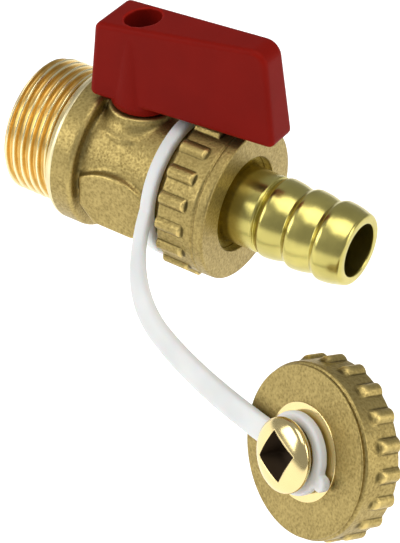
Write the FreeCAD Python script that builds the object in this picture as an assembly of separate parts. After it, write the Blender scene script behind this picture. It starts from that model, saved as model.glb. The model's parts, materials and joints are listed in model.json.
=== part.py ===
import FreeCAD
import Part
import math
import os

# Drain cock with a hose tail and a captive cap, in millimetres.
# X runs along the flow from inlet to outlet, Z up along the stem, Y away from the viewer.
# The origin is on the flow axis, on the face of the collar that meets the boiler wall.

V = FreeCAD.Vector
X_AXIS = V(1, 0, 0)
Y_AXIS = V(0, 1, 0)
Z_AXIS = V(0, 0, 1)
ORIGIN = V(0, 0, 0)

# Fits
RUN_FIT = 0.08           # radial clearance of turned parts that run in each other
SEAT_FIT = 0.1           # clearance between ball and seats, and round the square drive
FACE_FIT = 0.05          # axial clearance where a screwed face presses on the next body
STRAP_FIT = 0.3          # loose clearance of the plastic strap on its neck and boss
OVERRUN = 1.0            # how far a cutting tool runs past the face it cuts

# Pipe threads, drawn at their outer diameter
THREAD_R = 13.22
THREAD_LEAD = 1.0        # bevel at the start of each thread

# Valve body
INLET_LENGTH = 10.9
INLET_MOUTH_R = 8.0
INLET_MOUTH_DEPTH = 7.5
WATERWAY_R = 5.06
COLLAR_STEP = 0.78       # collar's face above the thread
COLLAR_RISE = 1.0        # machined bevel, outward
COLLAR_BEVEL = 1.3       # and along the flow
COLLAR_LENGTH = 6.3
COLLAR_ROUND = 0.7
BARREL_STEP = 0.6        # barrel above the neck
BARREL_LENGTH = 16.0
NECK_DEPTH = 1.22        # neck below the thread
NECK_LENGTH = 3.0
OUTLET_LENGTH = 4.9
FLATS_ACROSS = 27.0
PAD_CROWN = 4.85         # top of the spanner pad above the flow axis
PAD_SPRING = 2.2         # height where the pad's arched top begins
PAD_FOOT = 7.0           # depth of the pad below the flow axis
PAD_CORNER = 3.2         # slanted lower corners
PAD_GROOVE = 0.8         # groove between collar and pad
PAD_ROUND = 0.5
BOSS_R = 6.4
BOSS_FOOT_R = 8.6
BOSS_FLARE = 3.4         # height of the boss's flared foot
BOSS_TOP = 13.6

# Ball, seats and retainer
STEM_X = 12.3
BALL_R = 9.0
BALL_ROOM = 0.3
SEAT_STANDOFF = 0.4      # from the ball's pole to the back of a seat
SEAT_WIDTH = 3.0
RETAINER_R = 10.2
RETAINER_LENGTH = 6.0
RETAINER_SLOT = 2.4
RETAINER_SLOT_DEPTH = 1.6

# Stem
STEM_R = 3.42
STEM_COLLAR_R = 5.1
STEM_COLLAR_HEIGHT = 0.9
STEM_LIFT = 0.2          # stem collar above the ball's top
STEM_WASHER_THICK = 0.5
TANG_WIDTH = 3.0
TANG_LENGTH = 7.0
TANG_DEPTH = 2.2
O_RING_CORD = 1.2
DRIVE_SIDE = 5.6
DRIVE_HEIGHT = 8.4
SCREW_R = 1.5
SCREW_HEAD_R = 2.7
SCREW_HEAD_HEIGHT = 2.0
SCREW_GRIP = 6.5         # length of the screw in the stem
SCREW_SLOT = 0.8
SCREW_WASHER_THICK = 0.5
SCREW_SLACK = 0.2

# Lever handle
HUB_LIFT = 0.4           # hub above the boss
HUB_FOOT_R = 5.6
HUB_TOP_R = 4.5
HUB_HEIGHT = 15.0
LEVER_BACK = 7.4         # behind the stem
LEVER_REACH = 29.2       # ahead of the stem
LEVER_UNDER = 1.5        # lever's underside above the hub's foot
LEVER_DEPTH = 15.2       # at the back end
LEVER_RISE = 5.0         # rise of the top edge to the tip
LEVER_UNDER_RISE = 1.25
LEVER_TIP_RAKE = 2.8     # the tip's top stands back from its bottom
LEVER_BACK_RAKE = 0.7
LEVER_HALF = 5.4         # half width at the lower back edge
LEVER_TAPER_X = 0.0555   # loss of half width per length
LEVER_TAPER_Z = 0.039    # loss of half width per height
LEVER_CORNER = 1.2
LEVER_TIP_CORNER = 2.8
LEVER_EDGE = 0.9
LEVER_WALL = 1.7
SCREW_WELL_R = 3.2
SCREW_SEAT = 1.7         # plastic between the drive's top and the screw's washer

# Union nut
NUT_BACK_GAP = 0.2
NUT_SIDE = 1.6           # wall round the thread
NUT_RIB_HEIGHT = 0.7
NUT_RIB_R = 1.3
NUT_RIB_COUNT = 20
NUT_RIB_LENGTH = 6.2
NUT_FACE_BEVEL = 0.3
NUT_RIM_LENGTH = 2.2
NUT_GROOVE = 0.35
NUT_WALL = 1.8
NUT_HOLE_R = 8.5

# Hose tail
GASKET_THICK = 1.45
GASKET_INSET = 0.2       # gasket's edge inside the flange's
GASKET_HOLE_R = 7.0
FLANGE_ROOM = 0.7        # room between the flange and the nut's bore
FLANGE_THICK = 1.75
TAIL_R = 7.0
TAIL_ROOT = 1.2          # hollow at the root of the tail
TAIL_STEM = 4.2          # plain length ahead of the nut
VALLEY_R = 6.72
BARB_R = 7.73
BARB_COUNT = 3
BARB_PITCH = 6.05
BARB_RISE = 1.2
BARB_LAND = 0.7
BARB_BULGE = 0.16
TIP_LENGTH = 1.9
TIP_ROUND = 0.5

# Cap, drawn on its own axis with its face at height 0
CAP_X = 69.8
CAP_Y = -34.0
CAP_Z = -17.8
CAP_AXIS = V(-0.359, -0.885, 0.297)
CAP_SIDE = 2.4           # wall round the thread
CAP_FACE_INSET = 1.0     # face's edge inside the wall's outside
CAP_FACE_ROUND = 0.8
CAP_SHOULDER = 2.4
CAP_DEPTH = 8.2
CAP_ROOF = 2.7
CAP_RIB_HEIGHT = 0.8
CAP_RIB_R = 1.4
CAP_RIB_COUNT = 20
CAP_RIB_LENGTH = 5.0
CAP_RING_R = 8.4
CAP_RING_HEIGHT = 0.2
CAP_NECK_R = 4.8
CAP_NECK_HEIGHT = 2.7
CAP_HEAD_R = 6.7
CAP_HEAD_HEIGHT = 3.6
CAP_HEAD_TOP_R = 5.2
SOCKET_SIDE = 6.3
SOCKET_DEPTH = 4.6
SOCKET_TURN = 65.0
CAP_GASKET_THICK = 1.5
CAP_GASKET_INSET = 0.5   # gasket's edge inside the thread
CAP_GASKET_HOLE_R = 9.5

# Strap
STRAP_WIDTH = 2.6
STRAP_RING_THICK = 2.2
STRAP_NECK = 4.6         # narrow part of the band beside the nut
BAND_WIDTH = 5.0
BAND_THICK = 2.0
BAND_ROUND = 0.7
BAND_DROP_Y = 7.2        # where the band's first bend lies, outward of the ring
BAND_DROP_Z = 11.8       # and below the flow axis
BAND_LEAD = 29.1         # from the eye's middle to the second bend
BAND_TURN = 8.2          # the band's way to the eye, turned from level, degrees
BEND_ONE = 12.0
BEND_TWO = 25.0
EYE_WALL = 2.9
EYE_THICK = 2.0
EYE_NUB = 1.5

# Places along the flow axis that several pieces share
BARREL_END = COLLAR_LENGTH + BARREL_LENGTH
NECK_END = BARREL_END + NECK_LENGTH
OUTLET_FACE = NECK_END + OUTLET_LENGTH
CAVITY_R = BALL_R + BALL_ROOM
SEAT_REACH = BALL_R + SEAT_STANDOFF
GASKET_BACK = OUTLET_FACE + FACE_FIT
FLANGE_BACK = GASKET_BACK + GASKET_THICK
FLANGE_FRONT = FLANGE_BACK + FLANGE_THICK
NUT_SHOULDER = FLANGE_FRONT + FACE_FIT
NUT_FRONT = NUT_SHOULDER + NUT_WALL
NUT_BACK = NECK_END + NUT_BACK_GAP

# Radii that follow the thread
THREAD_BORE_R = THREAD_R + RUN_FIT
COLLAR_SEAT_R = THREAD_R + COLLAR_STEP
COLLAR_R = COLLAR_SEAT_R + COLLAR_RISE
NECK_R = THREAD_R - NECK_DEPTH
BARREL_R = NECK_R + BARREL_STEP
NUT_R = THREAD_BORE_R + NUT_SIDE
NUT_RIB_TOP_R = NUT_R + NUT_RIB_HEIGHT
NUT_FACE_R = NUT_R - NUT_FACE_BEVEL
FLANGE_R = THREAD_BORE_R - FLANGE_ROOM
GASKET_R = FLANGE_R - GASKET_INSET
CAP_R = THREAD_BORE_R + CAP_SIDE
CAP_RIB_TOP_R = CAP_R + CAP_RIB_HEIGHT
CAP_FACE_R = CAP_R - CAP_FACE_INSET
CAP_GASKET_R = THREAD_BORE_R - CAP_GASKET_INSET

# Heights along the stem that several pieces share
STEM_COLLAR_FOOT = BALL_R + STEM_LIFT
STEM_COLLAR_TOP = STEM_COLLAR_FOOT + STEM_COLLAR_HEIGHT
GLAND_FLOOR = STEM_COLLAR_TOP + STEM_WASHER_THICK
STEM_BORE_R = STEM_R + RUN_FIT
HUB_FOOT = BOSS_TOP + HUB_LIFT
DRIVE_TOP = HUB_FOOT + DRIVE_HEIGHT
SOCKET_ROOF = DRIVE_TOP + SEAT_FIT
SCREW_WASHER_FOOT = SOCKET_ROOF + SCREW_SEAT
SCREW_HEAD_FOOT = SCREW_WASHER_FOOT + SCREW_WASHER_THICK
SCREW_TIP = DRIVE_TOP - SCREW_GRIP

# Frame of the cap and of the strap's eye
CAP_PLACE = V(CAP_X, CAP_Y, CAP_Z)
CAP_OUT = V(CAP_AXIS).normalize()
CAP_LEVEL = CAP_OUT.cross(Z_AXIS).normalize()
CAP_CROSS = CAP_OUT.cross(CAP_LEVEL)
EYE_FOOT = CAP_RING_HEIGHT + STRAP_FIT
EYE_R = CAP_NECK_R + STRAP_FIT + EYE_WALL


def outline(nodes):
    """Closed wire in the XZ plane. A pair is a straight run, four numbers an arc (middle, end)."""
    start = V(nodes[0][0], 0, nodes[0][1])
    at = start
    edges = []
    for node in nodes[1:] + [nodes[0]]:
        end = V(node[-2], 0, node[-1])
        if len(node) == 4:
            edges.append(Part.Arc(at, V(node[0], 0, node[1]), end).toShape())
        else:
            edges.append(Part.LineSegment(at, end).toShape())
        at = end
    return Part.Wire(edges)


def turned(axis, nodes):
    """Solid of revolution of an outline about the flow axis or the stem direction."""
    return Part.Face(outline(nodes)).revolve(ORIGIN, axis, 360)


def ring_along_x(x0, x1, inner, outer):
    return turned(X_AXIS, [(x0, inner), (x0, outer), (x1, outer), (x1, inner)])


def ring_along_z(z0, z1, inner, outer):
    return turned(Z_AXIS, [(inner, z0), (outer, z0), (outer, z1), (inner, z1)])


def on_stem(shape):
    """Moves a piece drawn about the Z axis to the stem."""
    shape.translate(V(STEM_X, 0, 0))
    return shape


def on_cap(shape):
    """Moves a piece drawn about the Z axis to the cap's place."""
    shape.Placement = FreeCAD.Placement(CAP_PLACE, FreeCAD.Rotation(Z_AXIS, CAP_OUT))
    return shape


def quarter(cx, cz, r, a0, a1):
    """Arc node of an outline: middle and end of a corner of radius r about its centre."""
    mid = math.radians((a0 + a1) / 2)
    end = math.radians(a1)
    return (cx + r * math.cos(mid), cz + r * math.sin(mid), cx + r * math.cos(end), cz + r * math.sin(end))


def spanner_pads():
    """The two flat pads as one prism through the barrel, with an arched top."""
    left = COLLAR_LENGTH + PAD_GROOVE
    right = BARREL_END
    middle = (left + right) / 2
    face = Part.Face(outline([
        (left, PAD_SPRING),
        (middle, PAD_CROWN, right, PAD_SPRING),
        (right, PAD_CORNER - PAD_FOOT),
        (right - PAD_CORNER, -PAD_FOOT),
        (left + PAD_CORNER, -PAD_FOOT),
        (left, PAD_CORNER - PAD_FOOT),
    ]))
    face.translate(V(0, -FLATS_ACROSS / 2, 0))
    prism = face.extrude(V(0, FLATS_ACROSS, 0))
    rims = [e for f in prism.Faces if abs(f.normalAt(0, 0).y) > 0.9 for e in f.Edges]
    return prism.makeFillet(PAD_ROUND, rims)


def stem_boss():
    foot = BOSS_TOP - BOSS_FLARE
    return on_stem(turned(Z_AXIS, [
        (0, 0),
        (BOSS_FOOT_R, 0),
        (BOSS_FOOT_R, foot),
        ((BOSS_FOOT_R + BOSS_R) / 2 - 0.25, foot + BOSS_FLARE * 0.3, BOSS_R, foot + BOSS_FLARE * 0.75),
        (BOSS_R, BOSS_TOP),
        (0, BOSS_TOP),
    ]))


def valve_body():
    outside = turned(X_AXIS, [
        (-INLET_LENGTH, 0),
        (-INLET_LENGTH, THREAD_R - THREAD_LEAD),
        (THREAD_LEAD - INLET_LENGTH, THREAD_R),
        (0, THREAD_R),
        (0, COLLAR_SEAT_R),
        (COLLAR_BEVEL, COLLAR_R),
        (COLLAR_LENGTH - COLLAR_ROUND, COLLAR_R),
        quarter(COLLAR_LENGTH - COLLAR_ROUND, COLLAR_R - COLLAR_ROUND, COLLAR_ROUND, 90, 0),
        (COLLAR_LENGTH, BARREL_R),
        (BARREL_END, BARREL_R),
        (BARREL_END, NECK_R),
        (NECK_END, NECK_R),
        (NECK_END, THREAD_R),
        (OUTLET_FACE - THREAD_LEAD, THREAD_R),
        (OUTLET_FACE, THREAD_R - THREAD_LEAD),
        (OUTLET_FACE, 0),
    ])
    mouth_end = INLET_MOUTH_DEPTH - INLET_LENGTH
    retainer_seat = STEM_X + SEAT_REACH
    inside = turned(X_AXIS, [
        (-INLET_LENGTH - OVERRUN, 0),
        (-INLET_LENGTH - OVERRUN, INLET_MOUTH_R),
        (mouth_end, INLET_MOUTH_R),
        (mouth_end + (INLET_MOUTH_R - WATERWAY_R) / 2, WATERWAY_R),
        (STEM_X - SEAT_REACH, WATERWAY_R),
        (STEM_X - SEAT_REACH, CAVITY_R),
        (retainer_seat, CAVITY_R),
        (retainer_seat, RETAINER_R + RUN_FIT),
        (OUTLET_FACE + OVERRUN, RETAINER_R + RUN_FIT),
        (OUTLET_FACE + OVERRUN, 0),
    ])
    bore = Part.makeCylinder(STEM_BORE_R, BOSS_TOP + OVERRUN, V(STEM_X, 0, 0))
    gland = Part.makeCylinder(STEM_COLLAR_R + STRAP_FIT, GLAND_FLOOR, V(STEM_X, 0, 0))
    body = outside.fuse([spanner_pads(), stem_boss()])
    return body.cut([inside, bore, gland]).removeSplitter()


def seat(side):
    """Ring with a hollow that follows the ball: side -1 towards the inlet, 1 towards the outlet."""
    back = STEM_X + side * SEAT_REACH
    front = back - side * SEAT_WIDTH
    ring = ring_along_x(min(back, front), max(back, front), WATERWAY_R, CAVITY_R - RUN_FIT)
    return ring.cut(Part.makeSphere(BALL_R + SEAT_FIT, V(STEM_X, 0, 0)))


def seat_retainer():
    back = STEM_X + SEAT_REACH
    front = back + RETAINER_LENGTH
    ring = ring_along_x(back, front, WATERWAY_R, RETAINER_R)
    half = RETAINER_R + OVERRUN
    slot = Part.makeBox(RETAINER_SLOT_DEPTH + OVERRUN, 2 * half, RETAINER_SLOT,
                        V(front - RETAINER_SLOT_DEPTH, -half, -RETAINER_SLOT / 2))
    return ring.cut(slot)


def ball():
    sphere = Part.makeSphere(BALL_R, V(STEM_X, 0, 0))
    half = BALL_R + OVERRUN
    bore = Part.makeCylinder(WATERWAY_R, 2 * half, V(STEM_X - half, 0, 0), X_AXIS)
    wide = TANG_WIDTH + 2 * SEAT_FIT
    slot = Part.makeBox(wide, 2 * BALL_R, BALL_R,
                        V(STEM_X - wide / 2, -BALL_R, BALL_R - TANG_DEPTH - SEAT_FIT))
    return sphere.cut([bore, slot])


def square_bar(side, corner_r, z0, z1):
    """Square bar about the Z axis with its corners turned off at corner_r."""
    bar = Part.makeBox(side, side, z1 - z0, V(-side / 2, -side / 2, z0))
    return bar.common(Part.makeCylinder(corner_r, z1 - z0, V(0, 0, z0)))


def stem():
    groove_r = STEM_BORE_R - O_RING_CORD - RUN_FIT
    groove_z = (GLAND_FLOOR + BOSS_TOP) / 2
    groove_half = O_RING_CORD / 2 + RUN_FIT
    shaft = turned(Z_AXIS, [
        (0, STEM_COLLAR_FOOT),
        (STEM_COLLAR_R, STEM_COLLAR_FOOT),
        (STEM_COLLAR_R, STEM_COLLAR_TOP),
        (STEM_R, STEM_COLLAR_TOP),
        (STEM_R, groove_z - groove_half),
        (groove_r, groove_z - groove_half),
        (groove_r, groove_z + groove_half),
        (STEM_R, groove_z + groove_half),
        (STEM_R, HUB_FOOT),
        (0, HUB_FOOT),
    ])
    drive = square_bar(DRIVE_SIDE, STEM_R, HUB_FOOT, DRIVE_TOP)
    tang_foot = BALL_R - TANG_DEPTH
    tang = Part.makeBox(TANG_WIDTH, TANG_LENGTH, STEM_COLLAR_FOOT - tang_foot,
                        V(-TANG_WIDTH / 2, -TANG_LENGTH / 2, tang_foot))
    hole = Part.makeCylinder(SCREW_R + FACE_FIT, SCREW_GRIP + OVERRUN, V(0, 0, SCREW_TIP - FACE_FIT))
    return on_stem(shaft.fuse([drive, tang]).cut(hole))


def stem_washer():
    return on_stem(ring_along_z(STEM_COLLAR_TOP, GLAND_FLOOR - FACE_FIT, STEM_R + RUN_FIT, STEM_COLLAR_R))


def stem_o_ring():
    cord = O_RING_CORD / 2
    middle = (GLAND_FLOOR + BOSS_TOP) / 2
    return on_stem(Part.makeTorus(STEM_BORE_R - cord - RUN_FIT / 2, cord, V(0, 0, middle)))


def lever_half(x, z):
    """Half width of the lever: its sides are flat and lean in towards the tip and the top."""
    back = STEM_X - LEVER_BACK
    under = HUB_FOOT + LEVER_UNDER
    return LEVER_HALF - LEVER_TAPER_X * (x - back) - LEVER_TAPER_Z * (z - under)


def lever_wedge(x0, x1, z0, z1, inset):
    """Block between the lever's leaning sides, drawn in by inset."""
    ends = []
    for x in (x0, x1):
        low = lever_half(x, z0) - inset
        high = lever_half(x, z1) - inset
        corners = [V(x, -low, z0), V(x, low, z0), V(x, high, z1), V(x, -high, z1), V(x, -low, z0)]
        ends.append(Part.makePolygon(corners))
    return Part.makeLoft(ends, True, True)


def rounded_corner(before, corner, after, r):
    """Straight run and arc nodes that round one corner of an outline."""
    c = V(corner[0], 0, corner[1])
    a = (V(before[0], 0, before[1]) - c).normalize()
    b = (V(after[0], 0, after[1]) - c).normalize()
    half = a.getAngle(b) / 2
    start = c + a * (r / math.tan(half))
    end = c + b * (r / math.tan(half))
    mid = c + (a + b).normalize() * (r / math.sin(half) - r)
    return [(start.x, start.z), (mid.x, mid.z, end.x, end.z)]


def handle():
    back = STEM_X - LEVER_BACK
    tip = STEM_X + LEVER_REACH
    under = HUB_FOOT + LEVER_UNDER
    top_back = under + LEVER_DEPTH
    top_tip = top_back + LEVER_RISE
    corners = [
        (back, under),
        (back + LEVER_BACK_RAKE, top_back),
        (tip - LEVER_TIP_RAKE, top_tip),
        (tip, under + LEVER_UNDER_RISE),
    ]
    radii = [LEVER_CORNER, LEVER_CORNER, LEVER_TIP_CORNER, LEVER_CORNER]
    nodes = []
    for i, corner in enumerate(corners):
        nodes += rounded_corner(corners[i - 1], corner, corners[(i + 1) % 4], radii[i])
    side = Part.Face(outline(nodes))
    side.translate(V(0, -2 * LEVER_HALF, 0))
    slab = side.extrude(V(0, 4 * LEVER_HALF, 0))
    lever = slab.common(lever_wedge(back - OVERRUN, tip + OVERRUN, under - OVERRUN, top_tip + OVERRUN, 0))
    rims = [e for f in lever.Faces if abs(f.normalAt(0, 0).y) > 0.9 for e in f.Edges]
    lever = lever.makeFillet(LEVER_EDGE, rims)
    hub = Part.makeCone(HUB_FOOT_R, HUB_TOP_R, HUB_HEIGHT, V(STEM_X, 0, HUB_FOOT))
    lever = lever.fuse(hub)
    socket = on_stem(square_bar(DRIVE_SIDE + 2 * SEAT_FIT, STEM_R + SEAT_FIT,
                                HUB_FOOT - OVERRUN, SOCKET_ROOF))
    shank = Part.makeCylinder(SCREW_R + SCREW_SLACK, SCREW_SEAT + 2 * OVERRUN,
                              V(STEM_X, 0, SOCKET_ROOF - OVERRUN))
    well = Part.makeCylinder(SCREW_WELL_R, top_tip, V(STEM_X, 0, SCREW_WASHER_FOOT))
    pocket_back = STEM_X + HUB_FOOT_R + LEVER_WALL
    pocket_tip = tip - LEVER_TIP_RAKE - LEVER_WALL
    pocket = lever_wedge(pocket_back, pocket_tip, under - OVERRUN, top_back - LEVER_WALL, LEVER_WALL)
    return lever.cut([socket, shank, well, pocket]).removeSplitter()


def screw_washer():
    return on_stem(ring_along_z(SCREW_WASHER_FOOT, SCREW_HEAD_FOOT, SCREW_R + SCREW_SLACK, SCREW_HEAD_R))


def handle_screw():
    head_top = SCREW_HEAD_FOOT + SCREW_HEAD_HEIGHT
    screw = turned(Z_AXIS, [
        (0, SCREW_TIP),
        (SCREW_R, SCREW_TIP),
        (SCREW_R, SCREW_HEAD_FOOT),
        (SCREW_HEAD_R, SCREW_HEAD_FOOT),
        (SCREW_HEAD_R, head_top - SCREW_SLOT / 2),
        (SCREW_HEAD_R - SCREW_SLOT / 2, head_top),
        (0, head_top),
    ])
    half = SCREW_HEAD_R + OVERRUN
    slot = Part.makeBox(2 * half, SCREW_SLOT, SCREW_HEAD_HEIGHT,
                        V(-half, -SCREW_SLOT / 2, head_top - SCREW_HEAD_HEIGHT / 2))
    return on_stem(screw.cut(slot))


def ribs(count, middle_r, rib_r, foot, length, axis):
    """Half-round grip ribs round an axis: bars with a ball end, from the foot along the axis."""
    bars = []
    across = Z_AXIS if axis == X_AXIS else X_AXIS
    for i in range(count):
        start = across * middle_r + axis * foot
        bar = Part.makeCylinder(rib_r, length - rib_r, start, axis)
        bar = bar.fuse(Part.makeSphere(rib_r, start + axis * (length - rib_r)))
        bar.rotate(ORIGIN, axis, 360.0 * i / count)
        bars.append(bar)
    return bars


def union_nut():
    rim_back = NUT_FRONT - NUT_RIM_LENGTH
    shell = turned(X_AXIS, [
        (NUT_BACK, THREAD_R),
        (NUT_BACK, NUT_R),
        (rim_back - NUT_GROOVE, NUT_R),
        (rim_back, NUT_R - NUT_GROOVE),
        (rim_back + NUT_GROOVE, NUT_R),
        (NUT_FRONT - NUT_GROOVE, NUT_R),
        (NUT_FRONT, NUT_FACE_R),
        (NUT_FRONT, NUT_HOLE_R),
        (NUT_SHOULDER, NUT_HOLE_R),
        (NUT_SHOULDER, THREAD_R),
    ])
    bars = ribs(NUT_RIB_COUNT, NUT_RIB_TOP_R - NUT_RIB_R, NUT_RIB_R, NUT_BACK, NUT_RIB_LENGTH, X_AXIS)
    bore = Part.makeCylinder(THREAD_BORE_R, NUT_SHOULDER - NUT_BACK + OVERRUN,
                              V(NUT_BACK - OVERRUN, 0, 0), X_AXIS)
    return shell.fuse(bars).cut(bore)


def hose_tail():
    foot = NUT_FRONT + TAIL_STEM
    nodes = [
        (FLANGE_BACK, WATERWAY_R),
        (FLANGE_BACK, FLANGE_R),
        (FLANGE_FRONT, FLANGE_R),
        (FLANGE_FRONT, TAIL_R + TAIL_ROOT),
        quarter(FLANGE_FRONT + TAIL_ROOT, TAIL_R + TAIL_ROOT, TAIL_ROOT, 180, 270),
        (foot - BARB_RISE / 2, TAIL_R),
        (foot, VALLEY_R),
    ]
    for i in range(BARB_COUNT):
        start = foot + i * BARB_PITCH
        land = start + BARB_RISE + BARB_LAND
        end = start + BARB_PITCH
        nodes += [
            (start + BARB_RISE, BARB_R),
            (land, BARB_R),
            ((land + end) / 2, (BARB_R + VALLEY_R) / 2 + BARB_BULGE, end, VALLEY_R),
        ]
    tip = foot + BARB_COUNT * BARB_PITCH + TIP_LENGTH
    nodes += [
        (tip - TIP_ROUND, VALLEY_R),
        quarter(tip - TIP_ROUND, VALLEY_R - TIP_ROUND, TIP_ROUND, 90, 0),
        (tip, WATERWAY_R),
    ]
    return turned(X_AXIS, nodes)


def tail_gasket():
    return ring_along_x(GASKET_BACK, FLANGE_BACK, GASKET_HOLE_R, GASKET_R)


def cap():
    shell = turned(Z_AXIS, [
        (0, 0),
        (CAP_FACE_R - CAP_FACE_ROUND, 0),
        quarter(CAP_FACE_R - CAP_FACE_ROUND, -CAP_FACE_ROUND, CAP_FACE_ROUND, 90, 0),
        (CAP_R, -CAP_SHOULDER),
        (CAP_R, -CAP_DEPTH),
        (0, -CAP_DEPTH),
    ])
    bars = ribs(CAP_RIB_COUNT, CAP_RIB_TOP_R - CAP_RIB_R, CAP_RIB_R, -CAP_DEPTH, CAP_RIB_LENGTH, Z_AXIS)
    head_foot = CAP_RING_HEIGHT + CAP_NECK_HEIGHT
    head_top = head_foot + CAP_HEAD_HEIGHT
    boss = turned(Z_AXIS, [
        (0, -CAP_ROOF / 2),
        (CAP_RING_R, -CAP_ROOF / 2),
        (CAP_RING_R, CAP_RING_HEIGHT),
        (CAP_NECK_R, CAP_RING_HEIGHT),
        (CAP_NECK_R, head_foot),
        (CAP_HEAD_TOP_R, head_foot),
        (CAP_HEAD_R, (head_foot + head_top) / 2, CAP_HEAD_TOP_R, head_top),
        (0, head_top),
    ])
    thread_depth = CAP_DEPTH - CAP_ROOF - CAP_GASKET_THICK
    bore = Part.makeCylinder(THREAD_BORE_R, thread_depth + OVERRUN, V(0, 0, -CAP_DEPTH - OVERRUN))
    recess = Part.makeCylinder(CAP_GASKET_R + RUN_FIT, CAP_DEPTH - CAP_ROOF, V(0, 0, -CAP_DEPTH))
    square = Part.makeBox(SOCKET_SIDE, SOCKET_SIDE, SOCKET_DEPTH + OVERRUN,
                          V(-SOCKET_SIDE / 2, -SOCKET_SIDE / 2, head_top - SOCKET_DEPTH))
    square.rotate(ORIGIN, Z_AXIS, SOCKET_TURN)
    return on_cap(shell.fuse(bars + [boss]).cut([bore, recess, square]))


def cap_gasket():
    return on_cap(ring_along_z(-CAP_ROOF - CAP_GASKET_THICK, -CAP_ROOF, CAP_GASKET_HOLE_R, CAP_GASKET_R))


def band_section(middle, along, across, wide):
    """Face of a band with rounded corners, square to its way."""
    up = along.cross(across).normalize()
    half_w = wide / 2
    half_t = BAND_THICK / 2
    edges = []
    last = None
    first = None
    for k in range(4):
        sw = (1, -1, -1, 1)[k]
        st = (1, 1, -1, -1)[k]
        centre = middle + across * (sw * (half_w - BAND_ROUND)) + up * (st * (half_t - BAND_ROUND))
        turn = math.radians(90.0 * k)
        points = []
        for part in (0, 0.5, 1):
            angle = turn + part * math.pi / 2
            points.append(centre + (across * math.cos(angle) + up * math.sin(angle)) * BAND_ROUND)
        if last is not None:
            edges.append(Part.LineSegment(last, points[0]).toShape())
        else:
            first = points[0]
        edges.append(Part.Arc(points[0], points[1], points[2]).toShape())
        last = points[2]
    edges.append(Part.LineSegment(last, first).toShape())
    return Part.Wire(edges)


def bend(before, corner, after, radius):
    """Start, end, centre, axis and angle of the arc that rounds a corner of the band's way."""
    a = (before - corner).normalize()
    b = (after - corner).normalize()
    half = a.getAngle(b) / 2
    run = radius / math.tan(half)
    centre = corner + (a + b).normalize() * (radius / math.sin(half))
    axis = b.cross(a).normalize()
    return corner + a * run, corner + b * run, centre, axis, 180 - math.degrees(2 * half)


def cap_strap():
    """Ring on the neck, band with two bends, eye on the cap's boss: one moulding."""
    ring_x1 = NECK_END - NUT_BACK_GAP
    ring_x = ring_x1 - STRAP_WIDTH / 2
    ring_r = NECK_R + STRAP_FIT
    turn = math.radians(BAND_TURN)
    lead = CAP_LEVEL * math.cos(turn) + CAP_CROSS * math.sin(turn)
    eye = CAP_PLACE + CAP_OUT * (EYE_FOOT + EYE_THICK / 2)
    start = V(ring_x, -ring_r - STRAP_RING_THICK / 2, 0)
    one = V(ring_x, start.y - BAND_DROP_Y, -BAND_DROP_Z)
    two = eye + lead * BAND_LEAD
    end = eye + lead * (EYE_R - EYE_WALL / 2)
    s1, e1, c1, axis1, turn1 = bend(start, one, two, BEND_ONE)
    s2, e2, c2, axis2, turn2 = bend(one, two, end, BEND_TWO)
    down = (one - start).normalize()
    narrow = start + down * STRAP_NECK
    pieces = [Part.Face(band_section(start, down, X_AXIS, STRAP_WIDTH)).extrude(narrow - start)]
    pieces.append(Part.makeLoft([
        band_section(narrow, down, X_AXIS, STRAP_WIDTH),
        band_section(s1, down, X_AXIS, BAND_WIDTH),
    ], True, True))
    first = Part.Face(band_section(s1, down, X_AXIS, BAND_WIDTH))
    pieces.append(first.revolve(c1, axis1, turn1))
    across = FreeCAD.Rotation(axis1, turn1).multVec(X_AXIS)
    along = (two - one).normalize()
    flat = CAP_OUT.cross(lead)
    level = FreeCAD.Rotation(axis2, -turn2).multVec(flat)
    if level.dot(across) < 0:
        flat = flat * -1
        level = level * -1
    pieces.append(Part.makeLoft([
        band_section(e1, along, across, BAND_WIDTH),
        band_section(s2, along, level, BAND_WIDTH),
    ], True, True))
    second = Part.Face(band_section(s2, along, level, BAND_WIDTH))
    pieces.append(second.revolve(c2, axis2, turn2))
    last = Part.Face(band_section(e2, lead * -1, flat, BAND_WIDTH))
    pieces.append(last.extrude(end - e2))
    pieces.append(ring_along_x(ring_x1 - STRAP_WIDTH, ring_x1, ring_r, ring_r + STRAP_RING_THICK))
    pieces.append(on_cap(ring_along_z(EYE_FOOT, EYE_FOOT + EYE_THICK, CAP_NECK_R + STRAP_FIT, EYE_R)))
    nub = Part.makeCylinder(EYE_NUB, EYE_THICK, eye - lead * EYE_R - CAP_OUT * (EYE_THICK / 2), CAP_OUT)
    pieces.append(nub)
    strap = pieces[0].fuse(pieces[1:])
    neck = Part.makeCylinder(ring_r, 2 * STRAP_WIDTH, V(ring_x - STRAP_WIDTH, 0, 0), X_AXIS)
    boss = on_cap(Part.makeCylinder(CAP_NECK_R + STRAP_FIT, 4 * EYE_THICK))
    return strap.cut([neck, boss])


PIECES = {
    "valve_body": valve_body(),
    "inlet_seat": seat(-1),
    "outlet_seat": seat(1),
    "seat_retainer": seat_retainer(),
    "ball": ball(),
    "stem": stem(),
    "stem_washer": stem_washer(),
    "stem_o_ring": stem_o_ring(),
    "handle": handle(),
    "handle_screw": handle_screw(),
    "screw_washer": screw_washer(),
    "union_nut": union_nut(),
    "hose_tail": hose_tail(),
    "tail_gasket": tail_gasket(),
    "cap_strap": cap_strap(),
    "cap": cap(),
    "cap_gasket": cap_gasket(),
}

os.makedirs("parts", exist_ok=True)
for name, shape in PIECES.items():
    solids = shape.Solids
    print(name, len(solids), round(shape.Volume, 1), shape.isValid())
    solid = solids[0] if len(solids) == 1 else shape
    solid.exportStep("parts/" + name + ".step")
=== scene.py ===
"""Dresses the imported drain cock: threads, cast and turned brass, red lever, white strap, stage."""

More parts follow.
